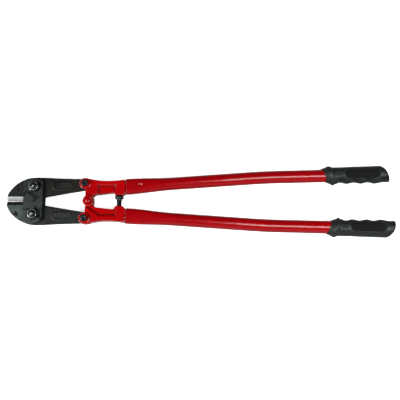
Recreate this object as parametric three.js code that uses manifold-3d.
// Bolt cutters, 750 mm class, closed and lying flat. Millimetres, +Z up.
// The long axis is X: the jaws point to -X and the handles to +X. While the parts are made,
// the origin is on the centre pivot, in the middle of the tool's thickness. At the end the
// whole group is moved so that the origin is the centre of the bounding box's underside.
//
// The lower half is the upper half turned 180 degrees about X, as the real forgings are.

import * as THREE from "three";
import { mergeVertices } from "three/addons/utils/BufferGeometryUtils.js";
import Module from "manifold-3d";

const wasm = await Module();
wasm.setup();

// ---- Driving dimensions ----

const GAP = 0.3; // running clearance between neighbouring pieces

// Pivots, for the upper half
const JAW_PIVOT = [-103.9, 26.5];
const TOGGLE = [-7.3, 33.8];
const LINK_PLAY = 1.7; // room for the toggle pin in the jaw's rear eye

// Jaws
const JAW_HALF = 6.5; // half the thickness
const JAW_TIP_X = -158;
const EDGE_GAP = 0.2; // from the cutting edge to the tool's axis
const BEVEL_WIDTH = 8;
const BEVEL_END_X = -122;
const JAW_HEIGHT = 46.1;
const EYE_R = 12.3;
const CARTOUCHE = { x: -51.5, y: 29, length: 38, width: 14, rim: 1.6, height: 0.8 };

// Side plates
const PLATE_THICK = 5.5;
const PLATE_LEFT_X = -124.2;
const PLATE_RIGHT_X = -87;
const PLATE_HALF_HEIGHT = 43.6;

// Fasteners: shank radius, width across flats, head height
const JAW_BOLT = { shank: 6, flats: 19, head: 5.9, nut: 7.6, stick: 2.2 };
const TOGGLE_BOLT = { shank: 4.2, flats: 13, head: 5.2, nut: 5.6, stick: 1 };
const CENTRE_BOLT = { shank: 5, headR: 7.8, head: 4.2, flats: 16, nut: 5.6, stick: 1 };
const STOP_BOLT = { shank: 5, flats: 15.6, head: 7.3, length: 35 };

// Handle arms (the forged pieces between the pivots and the tubes)
const ARM_HALF = 10;
const BOSS_HALF = 10.8;
const FORK_R = 10.5;
const HUB_R = 11.1;
const SLOT_R = EYE_R + LINK_PLAY + GAP;
const POCKET_DEPTH = 3;
const POCKET_DRAFT = 3.6; // how far a pocket's wall leans out over its depth
const POCKET_END_X = 50; // where the pockets' floors end, short of the stop's boss
const WINDOW_X = 8.7; // where the opening between the arms begins
const WINDOW_FLAT = 7; // half the length of its straight end
const SEAM = [70.3, 28.4]; // where the arm's shoulder meets the tube
const SEAM_GAP = 1.1; // the open groove between the shoulder and the tube
const STOP_X = 58.4;
const STOP_FACE_UPPER = 11.4;
const STOP_FACE_LOWER = 10.2;
const STOP_TRAVEL = 5; // how much further the stop bolt can be screwed in
const TONGUE = { length: 40, width: 21.5, thick: 14 };

// Handle tubes
const TUBE_R = 12.25;
const TUBE_WALL = 2.2;
const TUBE_FLAT = { width: 30, height: 19.6, fade: 88 }; // flattened where it grips the tongue
const TUBE_SLOPE = 0.0702;
const TUBE_REAR_SLOPE = 0.024;
const BEND_X = [311, 340, 369];
const TUBE_END_X = 563;

// Grips
const GRIP = {
  start: 455,
  length: 121.5,
  bodyR: 17,
  collarR: 19.2,
  boreEnd: 112,
  flatten: 0.96, // its height over its width
  frontLean: 0.36, // the front's slant, which fades out at frontReach
  frontReach: 34,
  endReach: 20, // the end's own shape starts this far before it
};
// Each grip's end: its slant, how far its outer side curls back, and how much longer it is.
const GRIP_END = {
  upper: { slant: 0.36, curl: 1.5, extra: 0.4 },
  lower: { slant: 0.25, curl: 5.5, extra: 2.07 },
};
const HANG_HOLE = { x: 119.5, y: -7.5, radius: 2.5 }; // near the grip's end
const GRIP_SHIFT = 6.5; // the lower grip stands this much further out
const SCALLOP = { first: 31, pitch: 27, depth: 2.6, count: 4 };

const COLOUR = {
  jaw: "#3c4240",
  plate: "#2b302e",
  steel: "#23282a",
  enamel: "#b0000c",
  rubber: "#282d2c",
};

const THROUGH = 20; // half the length of a cutter that goes right through any piece

// ---- Booleans and shapes ----

function solid(geometry) {
  const merged = mergeVertices(withoutNormals(geometry), 1e-4);
  const mesh = new wasm.Mesh({
    numProp: 3,
    vertProperties: merged.attributes.position.array,
    triVerts: new Uint32Array(merged.index.array),
  });
  return new wasm.Manifold(mesh);
}

function geometryOf(manifold) {
  const mesh = manifold.getMesh();
  const g = new THREE.BufferGeometry();
  g.setAttribute("position", new THREE.BufferAttribute(mesh.vertProperties, 3));
  g.setIndex(new THREE.BufferAttribute(mesh.triVerts, 1));
  const flat = g.toNonIndexed();
  flat.computeVertexNormals();
  return flat;
}

// A shape in XY, extruded from z0 to z1.
function prism(shape, z0, z1, curveSegments = 10) {
  const g = new THREE.ExtrudeGeometry(shape, { depth: z1 - z0, bevelEnabled: false, curveSegments });
  g.translate(0, 0, z0);
  return solid(g);
}

function polygon(points) {
  return new THREE.Shape(points.map(([x, y]) => new THREE.Vector2(x, y)));
}

function disc(x, y, r, z0, z1, segments = 32) {
  const g = new THREE.CylinderGeometry(r, r, z1 - z0, segments);
  g.rotateX(Math.PI / 2);
  g.translate(x, y, (z0 + z1) / 2);
  return solid(g);
}

function hexagon(flats, z0, z1, turn = 0) {
  const g = new THREE.CylinderGeometry(flats / Math.sqrt(3), flats / Math.sqrt(3), z1 - z0, 6);
  g.rotateX(Math.PI / 2);
  g.rotateZ(turn);
  g.translate(0, 0, (z0 + z1) / 2);
  return solid(g);
}

// A hexagon whose corners are taken off by a cone at the top and bottom.
function chamferedHexagon(flats, z0, z1, turn = 0) {
  const cornerR = flats / Math.sqrt(3);
  const faceR = flats / 2 - 0.6;
  const drop = 1.2; // how far down the corners the cone reaches
  const profile = [
    [0, z0],
    [faceR, z0],
    [cornerR, z0 + drop],
    [cornerR, z1 - drop],
    [faceR, z1],
    [0, z1],
  ];
  return hexagon(flats, z0, z1, turn).intersect(lathe(profile, 24));
}

// A profile of [radius, z] points turned about Z. It starts and ends on the axis.
function lathe(profile, segments) {
  const g = new THREE.LatheGeometry(
    profile.map(([r, z]) => new THREE.Vector2(r, z)),
    segments,
  );
  g.rotateX(Math.PI / 2);
  const made = solid(g);
  return made.volume() < 0 ? solid(turnedInsideOut(g)) : made;
}

function turnedInsideOut(geometry) {
  const g = geometry.clone();
  const index = g.index.array;
  for (let i = 0; i < index.length; i += 3) {
    const first = index[i];
    index[i] = index[i + 1];
    index[i + 1] = first;
  }
  return g;
}

// ---- Fasteners ----

// Bolt along Z with its head below, its nut's seat at nutZ, and its end a little past the nut.
function hexBolt({ shank, flats, head, nut, stick }, headZ, nutZ) {
  const end = nutZ + nut + stick;
  const shaft = [
    [0, headZ - 0.5],
    [shank, headZ - 0.5],
    [shank, end - 1],
    [shank - 1, end],
    [0, end],
  ];
  return chamferedHexagon(flats, headZ - head, headZ, 0.2).add(lathe(shaft, 24));
}

function hexNut({ shank, flats, nut }, z, turn) {
  const body = chamferedHexagon(flats, z, z + nut, turn);
  return body.subtract(disc(0, 0, shank + GAP, z - 1, z + nut + 1, 24));
}

function centreBolt() {
  const { shank, headR, head, nut, stick } = CENTRE_BOLT;
  const seat = BOSS_HALF + GAP;
  const profile = [
    [0, -seat - nut - stick],
    [shank - 1, -seat - nut - stick],
    [shank, -seat - nut - stick + 1],
    [shank, seat],
    [headR, seat],
    [headR, seat + head - 1.8],
    [headR - 1.8, seat + head - 0.3],
    [headR - 4, seat + head],
    [0, seat + head],
  ];
  return lathe(profile, 28);
}

// The stop bolt lies along Y: its head touches the upper arm and it screws into the lower arm.
function stopBolt() {
  const { shank, flats, head, length } = STOP_BOLT;
  const thread = [
    [0, -length],
    [shank - 1, -length],
    [shank, -length + 1],
    [shank, 0.5],
    [0, 0.5],
  ];
  return chamferedHexagon(flats, 0, head).add(lathe(thread, 20));
}

// ---- Jaws ----

function jawOutline() {
  const [eyeX, eyeY] = TOGGLE;
  const s = new THREE.Shape();
  s.moveTo(JAW_TIP_X, EDGE_GAP);
  s.lineTo(-106, EDGE_GAP);
  s.quadraticCurveTo(-94, 5.5, -80, 9.4);
  s.lineTo(eyeX - 2, eyeY - EYE_R + 0.1);
  s.absarc(eyeX, eyeY, EYE_R, -Math.PI / 2, 0.7, false);
  s.absarc(eyeX - 2.5, eyeY - 1.3, EYE_R - 2, 0.7, Math.PI / 2, false);
  s.quadraticCurveTo(-50, 43.6, -75, 45);
  s.quadraticCurveTo(-92, JAW_HEIGHT, -104, JAW_HEIGHT);
  s.bezierCurveTo(-135, 45.3, -155, 19.6, JAW_TIP_X + 1.2, 8);
  s.lineTo(JAW_TIP_X, EDGE_GAP);
  return s;
}

// What a ground, centre-cut edge takes away: a wedge above and a wedge below the edge.
function edgeCutter() {
  const over = JAW_HALF + 1;
  const reach = EDGE_GAP + (BEVEL_WIDTH * over) / JAW_HALF;
  const section = polygon([
    [-over, -2],
    [over, -2],
    [over, reach],
    [0, EDGE_GAP],
    [-over, reach],
  ]);
  const length = BEVEL_END_X - JAW_TIP_X + 5;
  const g = new THREE.ExtrudeGeometry(section, { depth: length, bevelEnabled: false });
  // The section's x becomes -Z and its depth becomes X.
  g.rotateY(Math.PI / 2);
  g.translate(JAW_TIP_X - 5, 0, 0);
  return solid(g);
}

function capsule(x, y, length, width) {
  const half = (length - width) / 2;
  const s = new THREE.Shape();
  s.absarc(x + half, y, width / 2, -Math.PI / 2, Math.PI / 2, false);
  s.absarc(x - half, y, width / 2, Math.PI / 2, (3 * Math.PI) / 2, false);
  s.closePath();
  return s;
}

// A plain raised oval rim, standing proud of both faces of the jaw.
function cartouche() {
  const { x, y, length, width, rim, height } = CARTOUCHE;
  const top = JAW_HALF + height;
  const outer = prism(capsule(x, y, length, width), -top, top, 8);
  const inner = prism(capsule(x, y, length - 2 * rim, width - 2 * rim), -top - 1, top + 1, 8);
  return outer.subtract(inner);
}

function jaw() {
  const [pivotX, pivotY] = JAW_PIVOT;
  const [eyeX, eyeY] = TOGGLE;
  return prism(jawOutline(), -JAW_HALF, JAW_HALF, 9)
    .subtract(edgeCutter())
    .add(cartouche())
    .subtract(disc(pivotX, pivotY, JAW_BOLT.shank + GAP, -THROUGH, THROUGH, 24))
    .subtract(disc(eyeX, eyeY, TOGGLE_BOLT.shank + LINK_PLAY + 0.1, -THROUGH, THROUGH, 24));
}

// ---- Side plates ----

function plateOutline() {
  const top = PLATE_HALF_HEIGHT;
  const s = new THREE.Shape();
  s.moveTo(PLATE_LEFT_X, -39);
  s.quadraticCurveTo(-118, -top, -109, -top);
  s.quadraticCurveTo(-92, -top, PLATE_RIGHT_X, -36);
  s.lineTo(PLATE_RIGHT_X, 36);
  s.quadraticCurveTo(-92, top, -109, top);
  s.quadraticCurveTo(-118, top, PLATE_LEFT_X, 39);
  s.closePath();
  return s;
}

function sidePlate(z0) {
  const [x, y] = JAW_PIVOT;
  const bore = JAW_BOLT.shank + GAP;
  return prism(plateOutline(), z0, z0 + PLATE_THICK, 7)
    .subtract(disc(x, y, bore, z0 - 1, z0 + PLATE_THICK + 1, 24))
    .subtract(disc(x, -y, bore, z0 - 1, z0 + PLATE_THICK + 1, 24));
}

// ---- Handle arms ----

function armWeb(stopFace) {
  const [seamX, seamY] = SEAM;
  const inner = seamY - 13;
  const outer = seamY + 13;
  const s = new THREE.Shape();
  s.moveTo(-6.1, 0);
  s.lineTo(WINDOW_X, 0);
  s.lineTo(WINDOW_X, WINDOW_FLAT);
  s.quadraticCurveTo(9.4, 12.2, 17, 12.7);
  s.quadraticCurveTo(32, 14.6, 46, 16.2);
  s.quadraticCurveTo(50, 16, STOP_X - 8, stopFace);
  s.lineTo(STOP_X + 7.5, stopFace);
  s.lineTo(seamX + 0.9, inner);
  s.lineTo(seamX - 0.9, outer);
  s.quadraticCurveTo(36, 36.2, 12, 40.6);
  s.quadraticCurveTo(2, 42.4, -4, 44.2);
  s.lineTo(-7, 34.2);
  s.lineTo(-6.1, 23);
  s.closePath();
  return s;
}

// The slot for the jaw's rear eye, open on the side that the jaw swings to.
function forkSlot() {
  const [x, y] = TOGGLE;
  const at = (angle, along, alongAngle) => {
    const a = THREE.MathUtils.degToRad(angle);
    const b = THREE.MathUtils.degToRad(alongAngle);
    return [
      x + SLOT_R * Math.cos(a) + along * Math.cos(b),
      y + SLOT_R * Math.sin(a) + along * Math.sin(b),
    ];
  };
  const reach = 60;
  const opening = polygon([at(274, 0, 0), at(40, 0, 0), at(40, reach, 128), at(274, reach, 184)]);
  const z = JAW_HALF + GAP;
  return disc(x, y, SLOT_R, -z, z).add(prism(opening, -z, z));
}

// Flattens the hub where the opening between the arms begins.
function windowEnd() {
  const half = WINDOW_FLAT;
  const end = HUB_R + 1;
  const outline = [[WINDOW_X, -half], [end, -half], [end, half], [WINDOW_X, half]];
  return prism(polygon(outline), -THROUGH, THROUGH);
}

// The pockets' floors. The one on the underside runs on round the hub, as room for the other arm.
const TOP_POCKET = [[20.4, 2], [POCKET_END_X, 2], [POCKET_END_X, 28.9], [20.4, 28.9]];
const UNDER_POCKET = [[-1.5, 11.4], [8, 2], [POCKET_END_X, 2], [POCKET_END_X, 27.3], [21.4, 27.3]];

// What a shallow pocket takes away. Its outline is at the floor, and its walls lean outwards.
// On the underside it is turned over.
function pocket(points, below) {
  const g = new THREE.ExtrudeGeometry(polygon(points), {
    depth: 1,
    bevelThickness: POCKET_DEPTH,
    bevelSize: POCKET_DRAFT,
    bevelSegments: 1,
  });
  // The outline is at -POCKET_DEPTH and the widest part from 0 to 1.
  if (below) g.scale(1, 1, -1);
  g.translate(0, 0, below ? -ARM_HALF : ARM_HALF);
  return solid(below ? turnedInsideOut(mergeVertices(withoutNormals(g), 1e-4)) : g);
}

function withoutNormals(geometry) {
  const g = geometry.clone();
  g.deleteAttribute("normal");
  g.deleteAttribute("uv");
  return g;
}

// The tongue that the flattened tube is pressed onto.
function tongue() {
  const { length, width, thick } = TONGUE;
  const shape = new THREE.Shape();
  const r = thick / 2;
  shape.absarc(0, width / 2 - r, r, 0, Math.PI, false);
  shape.absarc(0, r - width / 2, r, Math.PI, 2 * Math.PI, false);
  shape.closePath();
  const options = { depth: length + 10, bevelEnabled: false, curveSegments: 8 };
  const g = new THREE.ExtrudeGeometry(shape, options);
  // The section's x becomes Z and its depth becomes X.
  g.rotateY(Math.PI / 2);
  g.translate(-10, 0, 0);
  g.rotateZ(Math.atan(TUBE_SLOPE));
  g.translate(SEAM[0], SEAM[1], 0);
  return solid(g);
}

// The upper arm. The lower arm is the same forging turned over, with a threaded stop boss.
function arm(stopFace, threaded) {
  const [x, y] = TOGGLE;
  let made = prism(armWeb(stopFace), -ARM_HALF, ARM_HALF, 8)
    .add(disc(x, y, FORK_R, -BOSS_HALF, BOSS_HALF, 40))
    .add(disc(0, 0, HUB_R, 0, BOSS_HALF, 40))
    .subtract(disc(0, 0, HUB_R + 0.4, -THROUGH, GAP / 2, 40))
    .subtract(windowEnd())
    .subtract(forkSlot())
    .subtract(pocket(TOP_POCKET, false))
    .subtract(pocket(UNDER_POCKET, true))
    .add(tongue())
    .subtract(disc(0, 0, CENTRE_BOLT.shank + GAP, -THROUGH, THROUGH, 28))
    .subtract(disc(x, y, TOGGLE_BOLT.shank + GAP, -THROUGH, THROUGH, 24));
  if (threaded) made = made.subtract(stopThread());
  return made;
}

// The blind hole for the stop bolt, deep enough for it to be screwed in further.
function stopThread() {
  const radius = STOP_BOLT.shank + GAP;
  const boltEnd = STOP_BOLT.head + STOP_BOLT.length - STOP_FACE_UPPER + GAP;
  const depth = boltEnd + STOP_TRAVEL + GAP;
  const g = new THREE.CylinderGeometry(radius, radius, depth, 20);
  g.translate(STOP_X, depth / 2, 0);
  return solid(g);
}

// ---- Tubes and grips ----

function tubeAxis() {
  const [x, y] = SEAM;
  const at = (px) => new THREE.Vector3(px, y + (px - x) * TUBE_SLOPE, 0);
  const rearY = at(BEND_X[1]).y - BEND_X[1] * TUBE_REAR_SLOPE;
  const rear = (px) => new THREE.Vector3(px, rearY + px * TUBE_REAR_SLOPE, 0);
  const path = new THREE.CurvePath();
  path.add(new THREE.LineCurve3(at(x + SEAM_GAP), at(BEND_X[0])));
  path.add(new THREE.QuadraticBezierCurve3(at(BEND_X[0]), at(BEND_X[1]), rear(BEND_X[2])));
  path.add(new THREE.LineCurve3(rear(BEND_X[2]), rear(TUBE_END_X)));
  return path;
}

// Sends a geometry that runs along Z from 0 to 1 onto a path in the XY plane.
// shape(u, across, height) gives the section's point at the fraction u of the path.
function alongPath(geometry, path, shape) {
  const p = geometry.attributes.position;
  for (let i = 0; i < p.count; i++) {
    const u = THREE.MathUtils.clamp(p.getZ(i), 0, 1);
    const [across, height] = shape(u, p.getX(i), p.getY(i));
    const centre = path.getPointAt(u);
    const way = path.getTangentAt(u);
    p.setXYZ(i, centre.x - way.y * across, centre.y + way.x * across, height);
  }
  return geometry;
}

function tube() {
  const path = tubeAxis();
  const length = path.getLength();
  const ring = new THREE.Shape();
  ring.absarc(0, 0, 1, 0, 2 * Math.PI, false);
  const hole = new THREE.Path();
  hole.absarc(0, 0, 0.5, 0, 2 * Math.PI, true);
  ring.holes.push(hole);
  const options = { depth: 1, steps: 16, bevelEnabled: false, curveSegments: 11 };
  const g = new THREE.ExtrudeGeometry(ring, options);
  // The unit ring's outer and inner circles take the wall's two radii, flattened near the arm.
  const section = (u, x, y) => {
    const flat = 1 - THREE.MathUtils.smoothstep(u * length, 8, TUBE_FLAT.fade);
    const unit = Math.hypot(x, y);
    const wall = unit > 0.75 ? 0 : TUBE_WALL;
    const halfWidth = THREE.MathUtils.lerp(TUBE_R, TUBE_FLAT.width / 2, flat) - wall;
    const halfHeight = THREE.MathUtils.lerp(TUBE_R, TUBE_FLAT.height / 2, flat) - wall;
    return squircle(x / unit, y / unit, halfWidth, halfHeight, 2 + 1.2 * flat);
  };
  return solid(alongPath(g, path, section));
}

// The point of a rounded box in the direction (cx, cy). Power 2 is an ellipse.
function squircle(cx, cy, halfWidth, halfHeight, power) {
  const reach = (Math.abs(cx) ** power + Math.abs(cy) ** power) ** (-1 / power);
  return [cx * reach * halfWidth, cy * reach * halfHeight];
}

// The grip's outer radius at a distance from its front, before the finger waves.
const GRIP_PROFILE = [
  [0, 13.6],
  [4, 15],
  [9, 17.3],
  [12.8, GRIP.collarR],
  [14.2, 19],
  [17.5, 17.2],
  [22, 16.6],
  [33, 16.5],
  [45, 16.6],
  [58, GRIP.bodyR],
  [71, GRIP.bodyR],
  [84, 17.2],
  [97, 17.4],
  [108, 17.7],
  [115.5, 17.3],
  [119.5, 15.8],
  [121.2, 12.6],
  [GRIP.length, 8],
];

// How deep a finger wave is at a distance from the grip's front.
function fingerWave(x) {
  const { smoothstep } = THREE.MathUtils;
  const wave = (x - SCALLOP.first) / SCALLOP.pitch + 0.5;
  const inWaves = smoothstep(wave, 0, 0.3) * smoothstep(SCALLOP.count - wave, 0, 0.3);
  return SCALLOP.depth * inWaves * (0.5 - 0.5 * Math.cos(2 * Math.PI * wave));
}

// How far a point of the grip is moved along it, by its slanted front and its shaped end.
function gripShift(x, y, end) {
  const { clamp, smoothstep } = THREE.MathUtils;
  const front = GRIP.frontLean * clamp(1 - x / GRIP.frontReach, 0, 1);
  const nearEnd = smoothstep(x, GRIP.length - GRIP.endReach, GRIP.length);
  const curl = end.curl * (Math.max(y, 0) / GRIP.bodyR) ** 2;
  return nearEnd * (end.extra - end.slant * y - curl) - front * y;
}

// The outer surface gets finger waves on its inner side, and both of its ends are slanted.
// The bore stays round.
function shapeGrip(geometry, end) {
  const { smoothstep } = THREE.MathUtils;
  const p = geometry.attributes.position;
  for (let i = 0; i < p.count; i++) {
    const [x, y, z] = [p.getX(i), p.getY(i), p.getZ(i)];
    const r = Math.hypot(y, z);
    const onBore = x < GRIP.boreEnd + 1 && r < TUBE_R + GAP + 0.1;
    const facing = r > 1 ? smoothstep(-y / r, -0.1, 0.9) : 0;
    const scale = onBore || r < 1 ? 1 : (r - fingerWave(x) * facing) / r;
    const flatten = onBore ? 1 : GRIP.flatten;
    const shift = onBore && x > 1 ? 0 : gripShift(x, y * scale, end);
    p.setXYZ(i, x + shift, y * scale, z * scale * flatten);
  }
  return geometry;
}

function grip(end) {
  const bore = TUBE_R + GAP;
  const profile = [...GRIP_PROFILE].reverse();
  profile.unshift([GRIP.length, 0]);
  profile.push([0, bore], [GRIP.boreEnd, bore], [GRIP.boreEnd, 0]);
  const g = new THREE.LatheGeometry(
    profile.map(([x, r]) => new THREE.Vector2(r, x)),
    24,
  );
  // The lathe's axis becomes X.
  g.rotateZ(-Math.PI / 2);
  shapeGrip(g, end);
  const whole = solid(g);
  const made = whole.volume() < 0 ? solid(turnedInsideOut(g)) : whole;
  return made.subtract(disc(HANG_HOLE.x, HANG_HOLE.y, HANG_HOLE.radius, -THROUGH, THROUGH, 16));
}

// ---- Assembly ----

function material(colour, roughness, metalness) {
  return new THREE.MeshStandardMaterial({ color: colour, roughness, metalness });
}

const forged = () => material(COLOUR.jaw, 0.45, 0.8);
const blackened = () => material(COLOUR.plate, 0.5, 0.6);
const boltSteel = () => material(COLOUR.steel, 0.4, 0.8);
const enamel = () => material(COLOUR.enamel, 0.3, 0);
const rubber = () => material(COLOUR.rubber, 0.8, 0);

function mesh(name, made, itsMaterial) {
  const m = new THREE.Mesh(geometryOf(made), itsMaterial);
  m.name = name;
  return m;
}

function placed(item, x, y, z = 0) {
  item.position.set(x, y, z);
  return item;
}

// Where the plates, nuts and heads stack on the jaws
const PLATE_Z = JAW_HALF + GAP;
const NUT_Z = PLATE_Z + PLATE_THICK + GAP;
const FORK_SEAT = BOSS_HALF + GAP;

function head() {
  const group = new THREE.Group();
  group.add(mesh("plate_front", sidePlate(PLATE_Z), blackened()));
  group.add(mesh("plate_back", sidePlate(-PLATE_Z - PLATE_THICK), blackened()));
  const [x, y] = JAW_PIVOT;
  for (const [side, sign, turn] of [["upper", 1, 0.35], ["lower", -1, 0.1]]) {
    const bolt = mesh(`jaw_bolt_${side}`, hexBolt(JAW_BOLT, -NUT_Z, NUT_Z), boltSteel());
    const nut = mesh(`jaw_nut_${side}`, hexNut(JAW_BOLT, NUT_Z, turn), boltSteel());
    group.add(placed(bolt, x, sign * y), placed(nut, x, sign * y));
  }
  return group;
}

function jaws() {
  const group = new THREE.Group();
  const lower = mesh("jaw_lower", jaw(), forged());
  lower.rotation.x = Math.PI;
  group.add(mesh("jaw_upper", jaw(), forged()), lower);
  return group;
}

// The toggle's own bolt and nut. Its head is on the top side of either handle.
function toggleFasteners(side, sign) {
  const group = new THREE.Group();
  const bolt = mesh(`toggle_bolt_${side}`, hexBolt(TOGGLE_BOLT, -FORK_SEAT, FORK_SEAT), boltSteel());
  const nut = mesh(`toggle_nut_${side}`, hexNut(TOGGLE_BOLT, FORK_SEAT, 0.3), boltSteel());
  bolt.rotation.x = Math.PI;
  nut.rotation.x = Math.PI;
  group.add(bolt, nut);
  return placed(group, TOGGLE[0], sign * TOGGLE[1]);
}

function gripOnTube(side, shift) {
  const made = mesh(`grip_${side}`, grip(GRIP_END[side]), rubber());
  const tubeEnd = tubeAxis().getPointAt(1);
  const start = GRIP.start + shift;
  made.rotation.z = Math.atan(TUBE_REAR_SLOPE);
  return placed(made, start, tubeEnd.y - (tubeEnd.x - start) * TUBE_REAR_SLOPE);
}

function handle(side, shift, stopFace, threaded) {
  const group = new THREE.Group();
  group.add(mesh(`arm_${side}`, arm(stopFace, threaded), enamel()));
  group.add(mesh(`tube_${side}`, tube(), enamel()));
  group.add(gripOnTube(side, shift));
  return group;
}

function handles() {
  const group = new THREE.Group();
  const lower = handle("lower", GRIP_SHIFT, STOP_FACE_LOWER, true);
  lower.rotation.x = Math.PI;
  group.add(handle("upper", 0, STOP_FACE_UPPER, false), lower);
  group.add(toggleFasteners("upper", 1), toggleFasteners("lower", -1));
  return group;
}

function centre() {
  const group = new THREE.Group();
  const nut = mesh("centre_nut", hexNut(CENTRE_BOLT, FORK_SEAT, 0), enamel());
  nut.rotation.x = Math.PI;
  const bolt = mesh("stop_bolt", stopBolt(), boltSteel());
  // The bolt's axis turns from Z to Y, with its head towards the upper arm.
  bolt.rotation.x = -Math.PI / 2;
  group.add(mesh("centre_bolt", centreBolt(), enamel()), nut);
  group.add(placed(bolt, STOP_X, STOP_FACE_UPPER - GAP - STOP_BOLT.head));
  return group;
}

const tool = new THREE.Group();
tool.add(head(), jaws(), handles(), centre());

const box = new THREE.Box3().setFromObject(tool, true);
const middle = box.getCenter(new THREE.Vector3());
tool.position.set(-middle.x, -middle.y, -box.min.z);

const boltCutters = new THREE.Group();
boltCutters.add(tool);

export default boltCutters;
